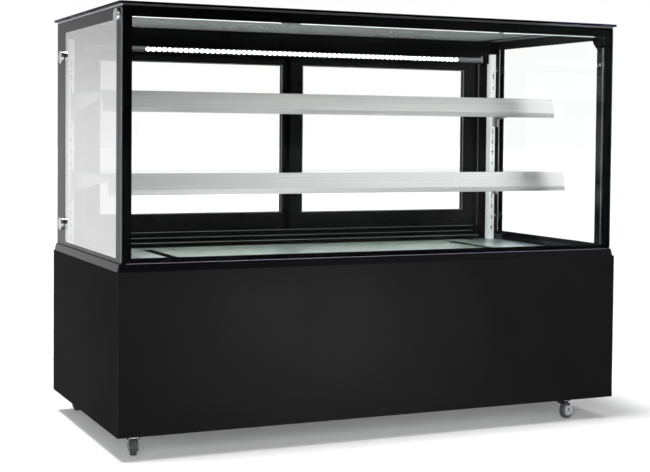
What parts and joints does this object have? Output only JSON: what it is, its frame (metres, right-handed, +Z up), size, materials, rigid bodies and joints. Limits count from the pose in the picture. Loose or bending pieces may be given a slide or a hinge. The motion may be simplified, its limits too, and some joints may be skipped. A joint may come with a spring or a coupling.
{
  "type": "refrigerated display case",
  "caption": "Refrigerated square-glass display case on casters, with glass shelves, a lit header and rear sliding doors.",
  "frame": {"origin": "on the floor, under the middle of the case's bounding box", "axes": "+Z up, +X to the right seen from the front, front facing -Y, rear sliding doors facing +Y"},
  "size_m": [1.5, 0.717, 1.159],
  "materials": {
    "black_panel": "semi-gloss",
    "galvanised": "matte zinc",
    "rim": "gloss",
    "liner": "satin",
    "deck": "satin",
    "fins": "plain",
    "black_plastic": "matte",
    "compressor_black": "enamel",
    "copper": "plain",
    "button": "matte",
    "switch_green": "gloss",
    "switch_black": "gloss",
    "screw": "plain",
    "front_glass": "clear with black printed border",
    "side_glass": "clear with black printed border",
    "slab_glass": "clear",
    "ceiling_glass": "clear",
    "seal": "translucent",
    "clamp": "satin chrome",
    "black_frame": "satin",
    "door_frame": "black anodised",
    "door_glass": "clear",
    "lamp": "white LED profile",
    "arm": "satin",
    "shelf_glass": "clear",
    "brushed_rail": "brushed lengthwise",
    "caster_steel": "zinc plated",
    "tyre": "matte",
    "pedal": "matte"
  },
  "bodies": {
    "case": {"base_frame": "galvanised", "base_pan": "galvanised", "bottom_track": "black_frame", "caster_bolts": "screw", "caster_plates": "caster_steel", "ceiling_glass": "ceiling_glass", "compressor": "compressor_black", "condenser_coil": "fins", "condenser_fan_shroud": "black_plastic", "corner_brackets": "black_frame", "deck_plate": "deck", "evaporator_coil": "fins", "evaporator_fan_shroud": "black_plastic", "front_glass": "front_glass", "front_panel": "black_panel", "glass_clamp_discs": "clamp", "header_duct": "black_frame", "insulated_tub": "liner", "lead_gland": "black_plastic", "led_lamp": "lamp", "left_side_glass": "side_glass", "left_side_panel": "black_panel", "lower_shelf_glass": "shelf_glass", "panel_screws": "screw", "pilasters": "brushed_rail", "price_rails": "brushed_rail", "rear_panel": "black_panel", "rear_posts": "black_frame", "rear_sill": "black_frame", "refrigerant_pipes": "copper", "right_side_glass": "side_glass", "right_side_panel": "black_panel", "rim_band": "rim", "shelf_arms": "arm", "switch_housings": "black_plastic", "temperature_controller": "black_plastic", "top_slab": "slab_glass", "top_spacer": "seal", "upper_shelf_glass": "shelf_glass"},
    "left_door": {"left_door_frame": "door_frame", "left_door_glass": "door_glass"},
    "right_door": {"right_door_frame": "door_frame", "right_door_glass": "door_glass"},
    "condenser_fan": {"condenser_fan_rotor": "black_plastic"},
    "evaporator_fan": {"evaporator_fan_rotor": "black_plastic"},
    "set_button": {"set_button": "button"},
    "up_button": {"up_button": "button"},
    "down_button": {"down_button": "button"},
    "power_switch": {"power_switch": "switch_green"},
    "light_switch": {"light_switch": "switch_black"},
    "fork_front_left": {"caster_fork_front_left": "caster_steel"},
    "wheel_front_left": {"caster_wheel_front_left": "tyre"},
    "pedal_front_left": {"caster_pedal_front_left": "pedal"},
    "fork_front_right": {"caster_fork_front_right": "caster_steel"},
    "wheel_front_right": {"caster_wheel_front_right": "tyre"},
    "pedal_front_right": {"caster_pedal_front_right": "pedal"},
    "fork_rear_left": {"caster_fork_rear_left": "caster_steel"},
    "wheel_rear_left": {"caster_wheel_rear_left": "tyre"},
    "fork_rear_right": {"caster_fork_rear_right": "caster_steel"},
    "wheel_rear_right": {"caster_wheel_rear_right": "tyre"}
  },
  "joints": [
    {"name": "left_door_slide", "type": "slide", "parent": "case", "child": "left_door", "axis": [1, 0, 0], "range_m": [0, 0.59]},
    {"name": "right_door_slide", "type": "slide", "parent": "case", "child": "right_door", "axis": [-1, 0, 0], "range_m": [0, 0.59]},
    {"name": "condenser_fan_spin", "type": "hinge", "parent": "case", "child": "condenser_fan", "pos_m": [-0.42, 0.2585, 0.192], "axis": [0, 1, 0], "continuous": true},
    {"name": "evaporator_fan_spin", "type": "hinge", "parent": "case", "child": "evaporator_fan", "pos_m": [0.286, -0.02175, 0.424], "axis": [1, 0, 0], "continuous": true},
    {"name": "set_button_press", "type": "slide", "parent": "case", "child": "set_button", "axis": [0, -1, 0], "range_m": [0, 0.0008], "stiffness_N_per_m": 400},
    {"name": "up_button_press", "type": "slide", "parent": "case", "child": "up_button", "axis": [0, -1, 0], "range_m": [0, 0.0008], "stiffness_N_per_m": 400},
    {"name": "down_button_press", "type": "slide", "parent": "case", "child": "down_button", "axis": [0, -1, 0], "range_m": [0, 0.0008], "stiffness_N_per_m": 400},
    {"name": "power_switch_rock", "type": "hinge", "parent": "case", "child": "power_switch", "pos_m": [0.17, 0.34725, 0.283], "axis": [-1, 0, 0], "range_deg": [0, 16]},
    {"name": "light_switch_rock", "type": "hinge", "parent": "case", "child": "light_switch", "pos_m": [0.21, 0.34725, 0.283], "axis": [-1, 0, 0], "range_deg": [0, 16]},
    {"name": "caster_front_left_swivel", "type": "hinge", "parent": "case", "child": "fork_front_left", "pos_m": [-0.695, -0.309, 0.0535], "axis": [0, 0, 1], "continuous": true},
    {"name": "caster_front_left_spin", "type": "hinge", "parent": "fork_front_left", "child": "wheel_front_left", "pos_m": [-0.68894, -0.28785, 0.025], "axis": [0.9613, -0.2756, 0], "continuous": true},
    {"name": "pedal_front_left_press", "type": "hinge", "parent": "fork_front_left", "child": "pedal_front_left", "pos_m": [-0.68756, -0.28305, 0.043], "axis": [-0.9613, 0.2756, 0], "range_deg": [0, 26]},
    {"name": "caster_front_right_swivel", "type": "hinge", "parent": "case", "child": "fork_front_right", "pos_m": [0.64, -0.309, 0.0535], "axis": [0, 0, 1], "continuous": true},
    {"name": "caster_front_right_spin", "type": "hinge", "parent": "fork_front_right", "child": "wheel_front_right", "pos_m": [0.61933, -0.31652, 0.025], "axis": [-0.342, 0.9397, 0], "continuous": true},
    {"name": "pedal_front_right_press", "type": "hinge", "parent": "fork_front_right", "child": "pedal_front_right", "pos_m": [0.61463, -0.31823, 0.043], "axis": [0.342, -0.9397, 0], "range_deg": [0, 26]},
    {"name": "caster_rear_left_swivel", "type": "hinge", "parent": "case", "child": "fork_rear_left", "pos_m": [-0.695, 0.3, 0.0535], "axis": [0, 0, 1], "continuous": true},
    {"name": "caster_rear_left_spin", "type": "hinge", "parent": "fork_rear_left", "child": "wheel_rear_left", "pos_m": [-0.684, 0.31905, 0.025], "axis": [0.866, -0.5, 0], "continuous": true},
    {"name": "caster_rear_right_swivel", "type": "hinge", "parent": "case", "child": "fork_rear_right", "pos_m": [0.64, 0.3, 0.0535], "axis": [0, 0, 1], "continuous": true},
    {"name": "caster_rear_right_spin", "type": "hinge", "parent": "fork_rear_right", "child": "wheel_rear_right", "pos_m": [0.63248, 0.32067, 0.025], "axis": [0.9397, 0.342, 0], "continuous": true}
  ]
}
